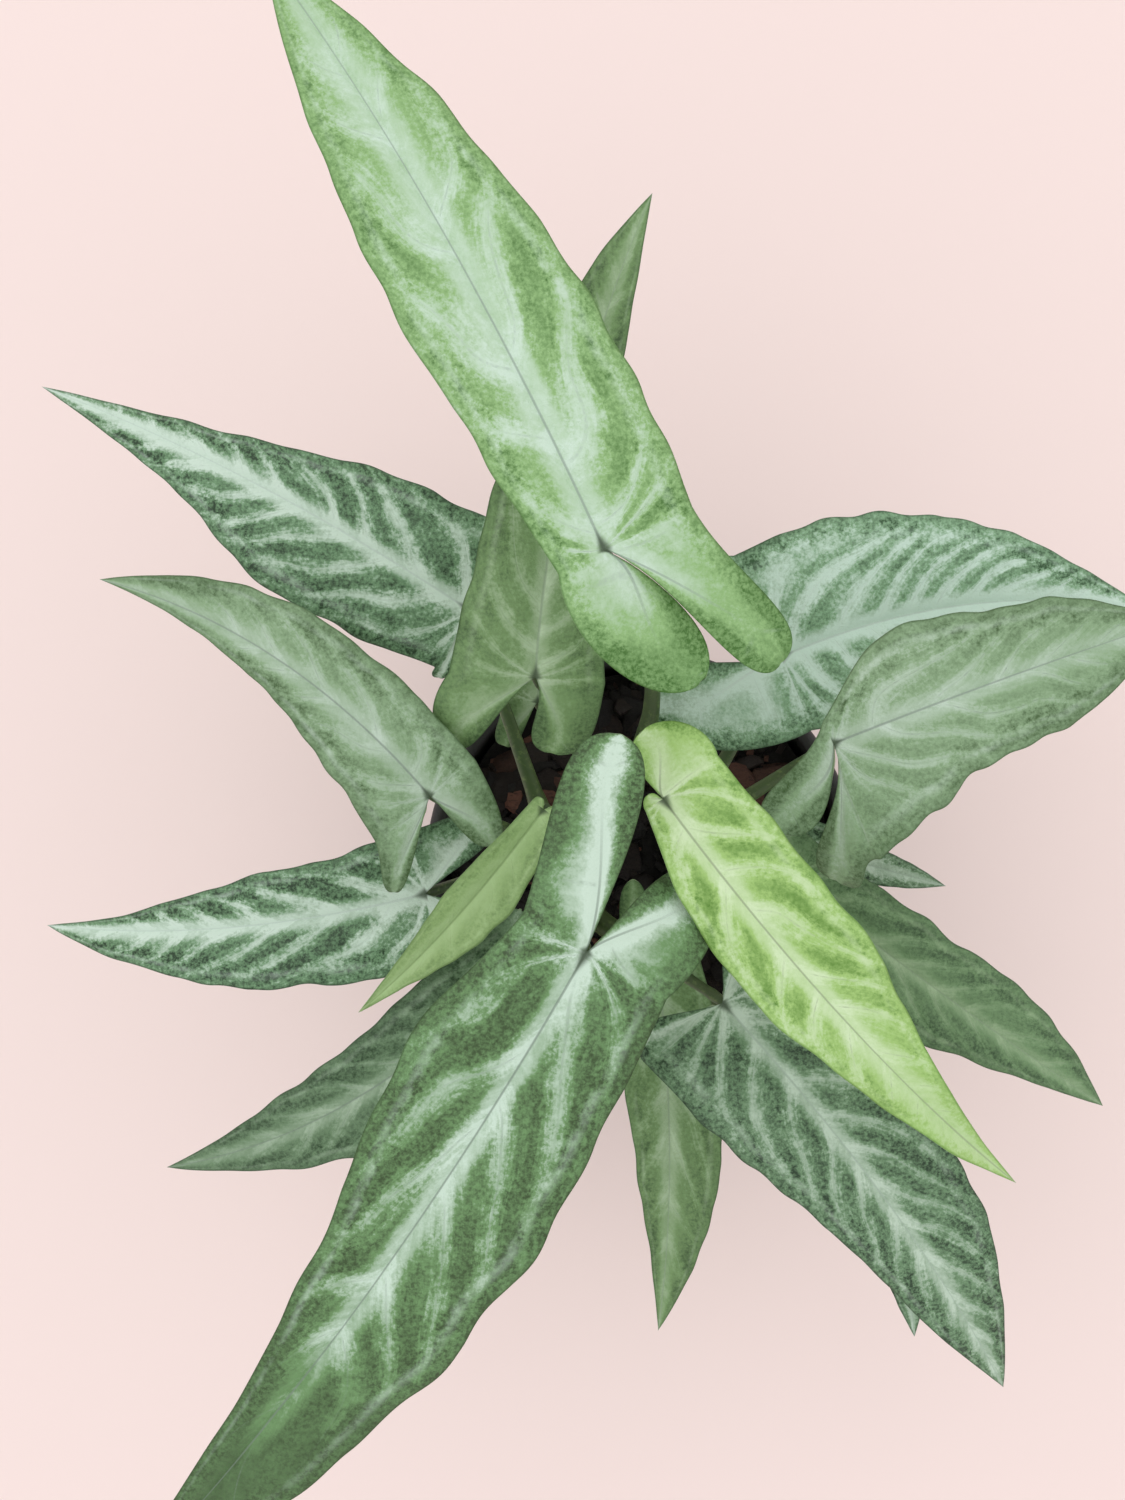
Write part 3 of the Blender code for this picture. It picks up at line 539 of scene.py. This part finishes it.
class Blade:
    """The middle surface of one leaf blade, as points of a formula."""

    def __init__(self, leaf):
        self.leaf = leaf
        self.start = Vector(leaf.sinus) * MM
        chord = Vector(leaf.tip) * MM - self.start
        self.length = chord.length
        self.ahead = chord.normalized()
        self.aside = UP.cross(self.ahead).normalized()
        self.up = self.ahead.cross(self.aside)
        self.bend = (self.aside * leaf.bow + self.up * leaf.arch) * MM
        self.tone = TONES[leaf.tone]
        self.draw = random.Random(leaf.name)
        self.wander = self.draw.uniform(0, 50)
        self.sweeps = {half: self.tone.sweep * self.draw.uniform(0.85, 1.2) for half in (1, -1)}
        self.starts = {half: self.draw.uniform(0, 1) for half in (1, -1)}

    def midrib(self, t):
        return self.start + self.ahead * (self.length * t) + self.bend * (4 * t * (1 - t))

    def frame(self, t):
        """The directions ahead, to the left and up off the blade at t."""
        tangent = (self.ahead * self.length + self.bend * (4 * (1 - 2 * t))).normalized()
        left = self.up.cross(tangent).normalized()
        roll = Matrix.Rotation(math.radians(self.leaf.roll), 3, tangent)
        left = roll @ left
        return tangent, left, tangent.cross(left)

    def widths(self, half):
        return (*(self.leaf.left if half > 0 else self.leaf.right), 0)

    def ripple(self, half, t):
        return math.sin(math.tau * (WAVES * t + WAVE_START + WAVE_HALF_SHIFT * half))

    def sweep(self, half, t):
        """How far a side vein runs forward for each millimetre outwards: less near the base."""
        return self.sweeps[half] * (0.6 + 0.4 * smooth_step(t * 2.5) + 0.4 * t)

    def vein_phase(self, half, t, x, u):
        """Counts the side veins: a whole number on each of them. The first ones fan out from the sinus."""
        ahead = t * self.length / MM
        forward = x * self.sweep(half, t) * (0.75 + 0.4 * u * u)
        foot = ahead - forward
        count = foot / self.tone.veins if foot >= 0 else FAN_VEINS * foot / forward
        return count + self.start_phase(half, t)

    def start_phase(self, half, t):
        """Makes the side veins leave the midrib at uneven distances."""
        return self.starts[half] + 0.55 * noise.noise(Vector((t * 6, half * 2.7, self.wander)))

    def unevenness(self, half, t, wide):
        """A small swing of the margin, none at the base and the tip."""
        swing = noise.noise(Vector((t * 11, half * 3.1, self.wander)))
        return wide * 0.1 * swing * smooth_step(5 * t) * smooth_step(4 * (1 - t))

    def ahead_row(self, half, t, shares):
        """A row of the blade ahead of the sinus, from the midrib to the margin."""
        leaf = self.leaf
        plain = through(self.widths(half), t)
        width = plain + self.unevenness(half, t, plain)
        wave = leaf.wave * self.ripple(half, t) * smooth_step(4 * (1 - t))
        _, left, normal = self.frame(t)
        middle = self.midrib(t)
        row = []
        for u in shares:
            x = width * u
            height = width * (leaf.fold * u - leaf.curl * u * u) + wave * u * u
            place = middle + left * (half * x * MM) + normal * (height * MM)
            from_sinus = math.hypot(x, t * self.length / MM)
            edge = min(width - x, from_sinus)
            row.append(Spot(place, self.vein_phase(half, t, x, u), u, t, x, edge))
        return row

    def lobe_row(self, half, t, shares):
        """A row of a back lobe at t from the sinus to the lobe's tip, from inner to outer margin."""
        leaf = self.leaf
        lobe = leaf.left_lobe if half > 0 else leaf.right_lobe
        width = self.widths(half)[0]
        tip = Vector((lobe.side, -lobe.back))
        along = (tip - Vector((width / 2, 0))).normalized()
        across = Vector((-along.y, along.x))
        outer = (Vector((width, 0)), Vector((width + lobe.outer, -LOBE_OUTER_BEND * lobe.back)))
        outer = cubic(*outer, tip + across * lobe.round, tip, t)
        inner = (Vector((0, 0)), tip * LOBE_INNER_BEND - across * lobe.inner)
        inner = cubic(*inner, tip - across * lobe.round, tip, t)
        wide = (outer - inner).length
        start_wave = leaf.wave * self.ripple(half, 0)
        tangent, left, normal = self.frame(0)
        rib_share = 0.5 * smooth_step(1.6 * t)
        run = t * tip.length
        row = []
        for u in shares:
            spot = inner + (outer - inner) * u
            height = (leaf.fold * spot.x - (leaf.curl * width - start_wave) * u * u) * (1 - t)
            height -= lobe.drop * t**1.5 + leaf.curl * wide * (u - 0.5) ** 2 * t
            side = left * (half * spot.x * MM)
            place = self.start + tangent * (spot.y * MM) + side + normal * (height * MM)
            x = (u - rib_share) * wide
            turned = self.sweep(half, 0) * smooth_step(3 * t) * (1 - 2.2 * t)
            back = run + x * (turned if x > 0 else 0.8)
            phase = self.start_phase(half, 0) - FAN_VEINS - back / self.tone.veins
            share = abs(u - rib_share) / ((1 - rib_share) if x > 0 else max(rib_share, 0.01))
            edge = wide * min(1 - u, u)
            row.append(Spot(place, phase, share, -t, x, edge))
        return row


def quilting(spot):
    """How far the upper skin stands off the plain surface: puffed between veins, sunk along ribs."""
    puff = abs(math.sin(math.pi * spot.phase)) ** 0.7 - 0.5
    puff *= smooth_step(abs(spot.rib) / 4) * smooth_step(spot.edge / 6)
    return SKIN_ABOVE + QUILT * puff - GROOVE * math.exp(-((spot.rib / 0.9) ** 2))


def rib_weight(spot):
    """The blade's thickness as a share of the main rib's: ribs stand out below, margins are thin."""
    plain = BLADE_THICK / RIB_THICK
    fading = (1 - max(spot.along, 0)) ** 0.8 * (1 + min(spot.along, 0)) * 0.98
    rib = math.exp(-((spot.rib / 1.2) ** 2)) * fading * (1 if spot.along >= 0 else 0.6)
    vein = 0.07 * math.exp(-((math.sin(math.pi * spot.phase) / 0.16) ** 2))
    vein *= smooth_step(spot.edge / 5) * (1 - abs(spot.along))
    return min(1.0, plain * (0.6 + 0.4 * smooth_step(spot.edge / 4)) + rib + vein)


def half_sheet(sheet, blade, half, rows_of, layers):
    """Adds one half of the blade, as a grid that the formula shapes."""
    rows_ahead, rows_lobe, columns = rows_of
    rows = rows_lobe + rows_ahead
    shares = [(column / columns) ** MIDRIB_CROWDING for column in range(columns + 1)]
    made = bmesh.ops.create_grid(sheet, x_segments=columns, y_segments=rows, size=0.5)["verts"]
    lines = []
    for row in range(rows_lobe):
        lines.append(blade.lobe_row(half, (rows_lobe - row) / rows_lobe, shares))
    for row in range(rows_ahead + 1):
        lines.append(blade.ahead_row(half, row / rows_ahead, shares))
    spots = {}
    for vert in made:
        column = round((vert.co.x + 0.5) * columns)
        row = round((vert.co.y + 0.5) * rows)
        spot = lines[row][column]
        vert.co = spot.place
        vert[layers["lift"]] = quilting(spot)
        vert[layers["thick"]][0] = rib_weight(spot)
        spots[vert] = spot
    faces = list({face for vert in made for face in vert.link_faces})
    for face in faces:
        for loop in face.loops:
            spot = spots[loop.vert]
            loop[layers["veins"]] = (spot.phase, spot.across, spot.along)
            loop[layers["place"]] = (spot.rib, spot.edge, half)
    if half > 0:
        bmesh.ops.reverse_faces(sheet, faces=faces)


def finished(name, mesh, materials, nodes):
    """Puts a mesh into the scene as a piece that rides on the body and replaces its nodes."""
    mesh.name = name
    piece = bpy.data.objects.new(name, mesh)
    bpy.context.scene.collection.objects.link(piece)
    mesh.materials.clear()
    for material in materials:
        mesh.materials.append(material)
    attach(piece, "root")
    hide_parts(*nodes)
    return piece


def make_leaf(leaf, materials):
    blade = Blade(leaf)
    sheet = bmesh.new()
    layers = {
        "lift": sheet.verts.layers.float.new("lift"),
        "thick": sheet.verts.layers.deform.new(),
        "veins": sheet.loops.layers.float_vector.new("veins"),
        "place": sheet.loops.layers.float_vector.new("place"),
    }
    for half in (1, -1):
        half_sheet(sheet, blade, half, ROWS_SMALL if blade.length < SMALL_BLADE else ROWS, layers)
    bmesh.ops.remove_doubles(sheet, verts=sheet.verts, dist=0.02 * MM)
    sheet.normal_update()
    lifts = {vert: vert.normal * (vert[layers["lift"]] * MM) for vert in sheet.verts}
    for vert, lift in lifts.items():
        rolling = noise.noise(vert.co * 32 + Vector((0, 0, blade.wander))) * ROLLING * MM
        vert.co += lift + vert.normal * (rolling * 0.6)
    mesh = bpy.data.meshes.new(leaf.name)
    sheet.to_mesh(mesh)
    sheet.free()
    mesh.shade_smooth()
    top, under = materials[leaf.tone]
    piece = finished(f"blade_{leaf.name}", mesh, [top, under], [leaf.name])
    piece.vertex_groups.new(name="thick")
    solidify = piece.modifiers.new("thickness", "SOLIDIFY")
    solidify.thickness = RIB_THICK * MM
    solidify.offset = -1
    solidify.vertex_group = "thick"
    solidify.material_offset = 1
    solidify.material_offset_rim = 1
    solidify.use_quality_normals = True


def stalk_route(leaf, root):
    """Points and radii of one leaf stalk, from inside its stem to under the blade's midrib."""
    blade = Blade(leaf)
    tangent, _, normal = blade.frame(0)
    neck = blade.start - normal * (STALK_SEAT + NECK_BELOW) - tangent * NECK_BEHIND
    across = Vector((neck.x - root.x, neck.y - root.y, 0))
    rise = neck.z - root.z
    lean = across.normalized()
    reach = (neck - root).length
    sway = Vector((*SWAY.get(leaf.name, (0, 0)), 0)) * MM
    out = root + (UP + lean * STALK_LEAN).normalized() * (STALK_UPRIGHT * reach) + sway
    arrive = (UP + lean * min(1.2, 0.8 * across.length / rise)).normalized()
    near = neck - arrive * (STALK_ARRIVE * reach) + sway
    route = []
    for step in range(STALK_RUNS + 1):
        t = step / STALK_RUNS
        radius = STALK_BASE_RADIUS + (STALK_MIDDLE_RADIUS - STALK_BASE_RADIUS) * smooth_step(1.6 * t)
        radius += (STALK_END_RADIUS - STALK_MIDDLE_RADIUS) * smooth_step(2 * t - 1)
        radius += SHEATH_PROUD * (1 - smooth_step((t - SHEATH_SHARE) * 14))
        radius += 0.25 * MM * math.exp(-(((t - 0.95) / 0.03) ** 2))
        route.append((cubic(root, out, near, neck, t), radius))
    for run in (0.25, 0.5, 0.75, 1.0):
        t = run * STALK_UNDER_BLADE / blade.length
        under = blade.midrib(t) - blade.frame(t)[2] * (STALK_SEAT - 0.7 * MM * run)
        route.append((under, STALK_END_RADIUS * (1 - 0.45 * run)))
    return route


def make_tube(name, route):
    """A closed mesh tube along the route, with its own radius at each point."""
    curve = bpy.data.curves.new(name, "CURVE")
    curve.dimensions = "3D"
    curve.bevel_depth = 1.0
    curve.bevel_resolution = 5
    curve.use_fill_caps = True
    spline = curve.splines.new("POLY")
    spline.points.add(len(route) - 1)
    for point, (place, radius) in zip(spline.points, route):
        point.co = (*place, 1.0)
        point.radius = radius
    guide = bpy.data.objects.new(name, curve)
    bpy.context.scene.collection.objects.link(guide)
    mesh = settled_mesh(guide)
    return mesh


def settled_mesh(thing):
    """The plain mesh of what an object's modifiers or bevel make of it. The object is removed."""
    bpy.context.view_layer.update()
    evaluated = thing.evaluated_get(bpy.context.evaluated_depsgraph_get())
    mesh = bpy.data.meshes.new_from_object(evaluated)
    shape = bmesh.new()
    shape.from_mesh(mesh)
    bmesh.ops.remove_doubles(shape, verts=shape.verts, dist=0.005 * MM)
    shape.to_mesh(mesh)
    shape.free()
    bpy.data.objects.remove(thing, do_unlink=True)
    return mesh


def soil_height(x, y):
    """The soil's top at a place, in metres: a low mound."""
    return SOIL_LEVEL + SOIL_MOUND * (1 - (x * x + y * y) / POT_TOP_RADIUS**2)


def turned_mesh(name, profile, steps):
    """A closed solid turned from points of radius and height. Its two ends are on the axis."""
    shape = bmesh.new()
    verts = [shape.verts.new((radius, 0, height)) for radius, height in profile]
    edges = [shape.edges.new(pair) for pair in zip(verts, verts[1:])]
    bmesh.ops.spin(
        shape, geom=verts + edges, cent=(0, 0, 0), axis=(0, 0, 1), angle=math.tau, steps=steps,
        use_merge=True,
    )
    bmesh.ops.remove_doubles(shape, verts=shape.verts, dist=0.02 * MM)
    bmesh.ops.recalc_face_normals(shape, faces=shape.faces)
    mesh = bpy.data.meshes.new(name)
    shape.to_mesh(mesh)
    shape.free()
    return mesh


def boolean_mesh(mesh, operation, others):
    """The mesh joined with or cut by other meshes, all closed."""
    group = bpy.data.collections.new("others")
    for index, other in enumerate(others):
        group.objects.link(bpy.data.objects.new(f"other_{index}", other))
    thing = bpy.data.objects.new("cutting", mesh)
    bpy.context.scene.collection.objects.link(thing)
    cut = thing.modifiers.new("cut", "BOOLEAN")
    cut.operation = operation
    cut.operand_type = "COLLECTION"
    cut.collection = group
    cut.solver = "EXACT"
    made = settled_mesh(thing)
    for other in list(group.objects):
        bpy.data.objects.remove(other, do_unlink=True)
    bpy.data.collections.remove(group)
    return made


def stem_profile(length):
    """A stem with a ring at each node, as radius and height from its foot."""
    points = [(0, 0), (STEM_RADIUS * 0.8, 0)]
    steps = 30
    for step in range(steps + 1):
        t = step / steps
        plain = STEM_RADIUS + (STEM_TOP_RADIUS - STEM_RADIUS) * t
        ring = max(0, math.cos(math.tau * (t * length / (9 * MM)))) ** 6
        points.append((plain - 0.25 * MM + 0.4 * MM * ring, t * length * 0.97 + 0.015 * length))
    points += [(STEM_TOP_RADIUS * 0.6, length), (0, length)]
    return points


def make_shoot(name, material):
    """One stem with its leaf stalks, joined into one body."""
    x, y, top = SHOOTS[name]
    foot = Vector((x * MM, y * MM, soil_height(x * MM, y * MM) - STEM_DEPTH))
    length = STEM_DEPTH + top * MM
    head = foot + Vector((0, 0, length))
    stem = turned_mesh(f"stem_{name}", stem_profile(length), 24)
    stem.transform(Matrix.Translation(foot))
    stalks = []
    for rank, leaf in enumerate(leaf for leaf in LEAVES if leaf.shoot == name):
        root = head - UP * ((STALK_FIRST + STALK_SPACING * rank) * MM)
        stalks.append(make_tube(f"stalk_{leaf.name}", stalk_route(leaf, root)))
    mesh = boolean_mesh(stem, "UNION", stalks)
    mesh.shade_smooth()
    finished(f"stalks_{name}", mesh, [material], [f"shoot_{name}"])


def wall_radius(height):
    """The pot's outer radius at a height."""
    return POT_BASE_RADIUS + (POT_TOP_RADIUS - POT_BASE_RADIUS) * height / POT_HEIGHT


def arc(centre, radius, start, end, steps):
    """Points of radius and height on a part of a circle, in degrees."""
    points = []
    for step in range(steps + 1):
        turn = math.radians(start + (end - start) * step / steps)
        points.append((centre[0] + radius * math.cos(turn), centre[1] + radius * math.sin(turn)))
    return points


def make_pot(material):
    """The nursery pot: thin tapered wall, rolled rim over a deep band, and a floor with drain holes."""
    inner = POT_TOP_RADIUS - POT_WALL
    outer = POT_TOP_RADIUS + RIM_OUT
    under_rim = POT_HEIGHT - RIM_BAND
    lip = (outer - inner) / 2
    profile = [(0, POT_FLOOR), (wall_radius(POT_FLOOR) - POT_WALL - 2 * MM, POT_FLOOR)]
    corner = (wall_radius(POT_FLOOR) - POT_WALL - 2 * MM, POT_FLOOR + 2 * MM)
    profile += arc(corner, 2 * MM, -90, 0, 5)[1:]
    profile += [(inner - 0.1 * MM, under_rim)]
    profile += arc((inner + lip, POT_HEIGHT - lip), lip, 180, 0, 14)
    profile += [(outer - 0.3 * MM, POT_HEIGHT - lip - 1.2 * MM), (outer - 0.5 * MM, under_rim + 0.8 * MM)]
    profile += arc((outer - 1.2 * MM, under_rim + 0.7 * MM), 0.7 * MM, 0, -90, 4)
    profile += [(wall_radius(under_rim) + 0.5 * MM, under_rim)]
    for height in (under_rim - 1.0 * MM, 62 * MM, 58 * MM, 16 * MM, 12 * MM):
        profile.append((wall_radius(height), height))
        if height in (62 * MM, 16 * MM):
            profile.append((wall_radius(height - MM) - 0.5 * MM, height - MM))
            profile.append((wall_radius(height - 3 * MM) - 0.5 * MM, height - 3 * MM))
    foot = (wall_radius(2 * MM) - 2 * MM, 2 * MM)
    profile += arc(foot, 2 * MM, 0, -90, 6)
    profile += [(38.5 * MM, 0), (38 * MM, 0.5 * MM), (0, 0.5 * MM)]
    pot = turned_mesh("pot", profile, POT_SIDES)
    holes = []
    for index in range(DRAIN_HOLES):
        turn = math.tau * (index + 0.5) / DRAIN_HOLES
        hole = bmesh.new()
        bmesh.ops.create_cone(
            hole, cap_ends=True, segments=32, radius1=DRAIN_RADIUS, radius2=DRAIN_RADIUS,
            depth=15 * MM,
        )
        place = Vector((DRAIN_RING * math.cos(turn), DRAIN_RING * math.sin(turn), 2.5 * MM))
        bmesh.ops.translate(hole, vec=place, verts=hole.verts)
        mesh = bpy.data.meshes.new("hole")
        hole.to_mesh(mesh)
        hole.free()
        holes.append(mesh)
    mesh = boolean_mesh(pot, "DIFFERENCE", holes)
    mesh.shade_smooth()
    mesh.set_sharp_from_angle(angle=math.radians(35))
    finished("nursery_pot", mesh, [material], ["pot"])


def add_chip(mix, size, place, turns, shifts, tint, cuts, rough):
    """One bark chip: a slab with knocked corners and split faces, lying half in the soil."""
    chip = bmesh.new()
    bmesh.ops.create_cube(chip, size=1.0)
    for vert, shift in zip(chip.verts, shifts):
        vert.co += shift
    if cuts:
        bmesh.ops.subdivide_edges(
            chip, edges=chip.edges, cuts=cuts, use_grid_fill=True, smooth=0.35
        )
    turn = Matrix.LocRotScale(place, turns, None)
    wander = Vector((tint * 91, tint * 37, tint * 53))
    for vert in chip.verts:
        across = vert.co.y * 5.3
        ridge = noise.noise(Vector((vert.co.x * 1.3, across, vert.co.z)) * 1.7 + wander)
        vert.co += vert.co.normalized() * (ridge * rough)
        vert.co = turn @ Vector([vert.co[axis] * size[axis] for axis in range(3)])
    layer = chip.loops.layers.float_vector.new("chip")
    for face in chip.faces:
        for loop in face.loops:
            loop[layer] = (tint, size[0] / MM, tint * 7 % 1)
    mesh = bpy.data.meshes.new("chip")
    chip.to_mesh(mesh)
    chip.free()
    mix.from_mesh(mesh)
    bpy.data.meshes.remove(mesh)


def stands_clear(x, y, distance):
    """True where no stem stands within a distance."""
    return all(math.hypot(x - sx * MM, y - sy * MM) > distance for sx, sy, _ in SHOOTS.values())


def main_chips(mix):
    """The large chips, at the places that they have in the solid."""
    draw = random.Random(CHIP_SEED)
    reach = POT_TOP_RADIUS - POT_WALL - CHIP_FROM_WALL
    for index in range(CHIPS):
        radius = reach * math.sqrt((index + 0.5) / CHIPS)
        turn = index * CHIP_TURN + draw.uniform(-CHIP_LOOSE, CHIP_LOOSE)
        x = radius * math.cos(turn)
        y = radius * math.sin(turn)
        size = [draw.uniform(*CHIP_LENGTH), draw.uniform(*CHIP_WIDTH), draw.uniform(*CHIP_THICK)]
        spin = draw.uniform(0, math.tau)
        tilt = (draw.uniform(-CHIP_LOOSE, CHIP_LOOSE), draw.uniform(-CHIP_LOOSE, CHIP_LOOSE))
        shifts = [
            Vector([draw.uniform(-CHIP_ROUGH, CHIP_ROUGH) for _ in range(3)]) for _ in range(8)
        ]
        if not stands_clear(x, y, CHIP_FROM_STEM):
            continue
        place = Vector((x, y, soil_height(x, y) + CHIP_RISE))
        turns = Euler((*tilt, spin))
        add_chip(mix, size, place, turns, shifts, (index * 0.618) % 1, 3, 0.16)


def small_chips(mix):
    """Small chips and crumbs of every size that fill the soil between the large chips."""
    draw = random.Random(CHIP_SEED + 1)
    for index in range(SMALL_CHIPS + CRUMBS):
        small = index >= SMALL_CHIPS
        reach = POT_TOP_RADIUS - POT_WALL - (4 if small else 7) * MM
        radius = reach * math.sqrt(draw.random())
        turn = draw.uniform(0, math.tau)
        x = radius * math.cos(turn)
        y = radius * math.sin(turn)
        longest = draw.uniform(1.6, 3.6) if small else draw.uniform(4.5, 9)
        size = (longest * MM, longest * draw.uniform(0.4, 0.75) * MM, longest * 0.32 * MM)
        turns = Euler([draw.uniform(-0.5, 0.5), draw.uniform(-0.5, 0.5), draw.uniform(0, math.tau)])
        shifts = [Vector([draw.uniform(-0.2, 0.2) for _ in range(3)]) for _ in range(8)]
        tint = draw.random()
        if not stands_clear(x, y, STEM_RADIUS + (2.4 if small else 5.5) * MM):
            continue
        lift = draw.uniform(0.0, 1.4) * MM
        place = Vector((x, y, soil_height(x, y) + lift))
        add_chip(mix, size, place, turns, shifts, tint, 0 if small else 1, 0.14)


def make_soil(material):
    """The potting mix: a filled cone with an uneven top, under bark chips of every size."""
    base = POT_FLOOR + 0.3 * MM
    side_gap = POT_WALL + 0.45 * MM
    edge = soil_height(POT_TOP_RADIUS, 0)
    rim = wall_radius(edge) - side_gap
    profile = [(0, soil_height(0, 0))]
    for ring in range(1, SOIL_RINGS + 1):
        radius = rim * ring / SOIL_RINGS
        profile.append((radius, soil_height(radius, 0)))
    profile += [(wall_radius(base) - side_gap, base), (0, base)]
    mesh = turned_mesh("potting_mix", profile, SOIL_SIDES)
    mix = bmesh.new()
    mix.from_mesh(mesh)
    layer = mix.loops.layers.float_vector.new("chip")
    for vert in mix.verts:
        out = math.hypot(vert.co.x, vert.co.y) / rim
        if vert.co.z > edge - MM and out < 0.99:
            rough = noise.fractal(vert.co * 260, 0.8, 2.1, 4) * 1.1 + noise.noise(vert.co * 90) * 1.2
            vert.co.z += rough * MM * smooth_step((1 - out) * 9) - 0.4 * MM
    for face in mix.faces:
        # The soil's surface takes the lowest tint and so the darkest brown: painted shade in the hollows
        # between the chips
        for loop in face.loops:
            loop[layer] = (0.12, 1.0, 0.3)
    main_chips(mix)
    small_chips(mix)
    mix.to_mesh(mesh)
    mix.free()
    mesh.shade_smooth()
    mesh.set_sharp_from_angle(angle=math.radians(38))
    finished("potting_mix", mesh, [material], ["soil"])


def make_stage():
    """A plain pale floor, soft light from all round and a large soft lamp overhead."""
    shape = bmesh.new()
    bmesh.ops.create_grid(shape, x_segments=1, y_segments=1, size=60)
    mesh = bpy.data.meshes.new("floor")
    shape.to_mesh(mesh)
    shape.free()
    floor = bpy.data.objects.new("floor", mesh)
    bpy.context.scene.collection.objects.link(floor)
    floor.location.z = -0.05 * MM
    mesh.materials.append(plain_finish("pale_floor", (246, 227, 224), 0.9))

    world = bpy.data.worlds.new("soft_studio")
    bpy.context.scene.world = world
    world.use_nodes = True
    sky = world.node_tree.nodes["Background"]
    sky.inputs["Color"].default_value = (1.0, 0.985, 0.975, 1.0)
    sky.inputs["Strength"].default_value = 0.97

    lamp = bpy.data.lights.new("overhead", "AREA")
    lamp.shape = "DISK"
    lamp.size = 3.6
    lamp.energy = 26
    holder = bpy.data.objects.new("overhead", lamp)
    holder.location = (-1.1, 1.2, 4.4)
    holder.rotation_euler = (-holder.location).to_track_quat("-Z", "Y").to_euler()
    bpy.context.scene.collection.objects.link(holder)
    bpy.context.scene.view_settings.view_transform = "Standard"


def make_camera():
    """Looks straight down, a little off the pot's axis."""
    lens = bpy.data.cameras.new("camera")
    lens.lens = 50
    lens.sensor_width = 36
    camera = bpy.data.objects.new("camera", lens)
    camera.location = (-0.0224, 0.0324, 0.692)
    bpy.context.scene.collection.objects.link(camera)
    bpy.context.scene.camera = camera


def main():
    for thing in list(bpy.data.objects):
        if thing.name in ("Cube", "Light", "Camera"):
            bpy.data.objects.remove(thing, do_unlink=True)
    tones = {name: (leaf_top(name), leaf_under(name)) for name in TONES}
    for leaf in LEAVES:
        make_leaf(leaf, tones)
    stalk = stalk_finish()
    for name in SHOOTS:
        make_shoot(name, stalk)
    make_soil(bark_finish())
    make_pot(plastic_finish())
    make_stage()
    make_camera()


main()
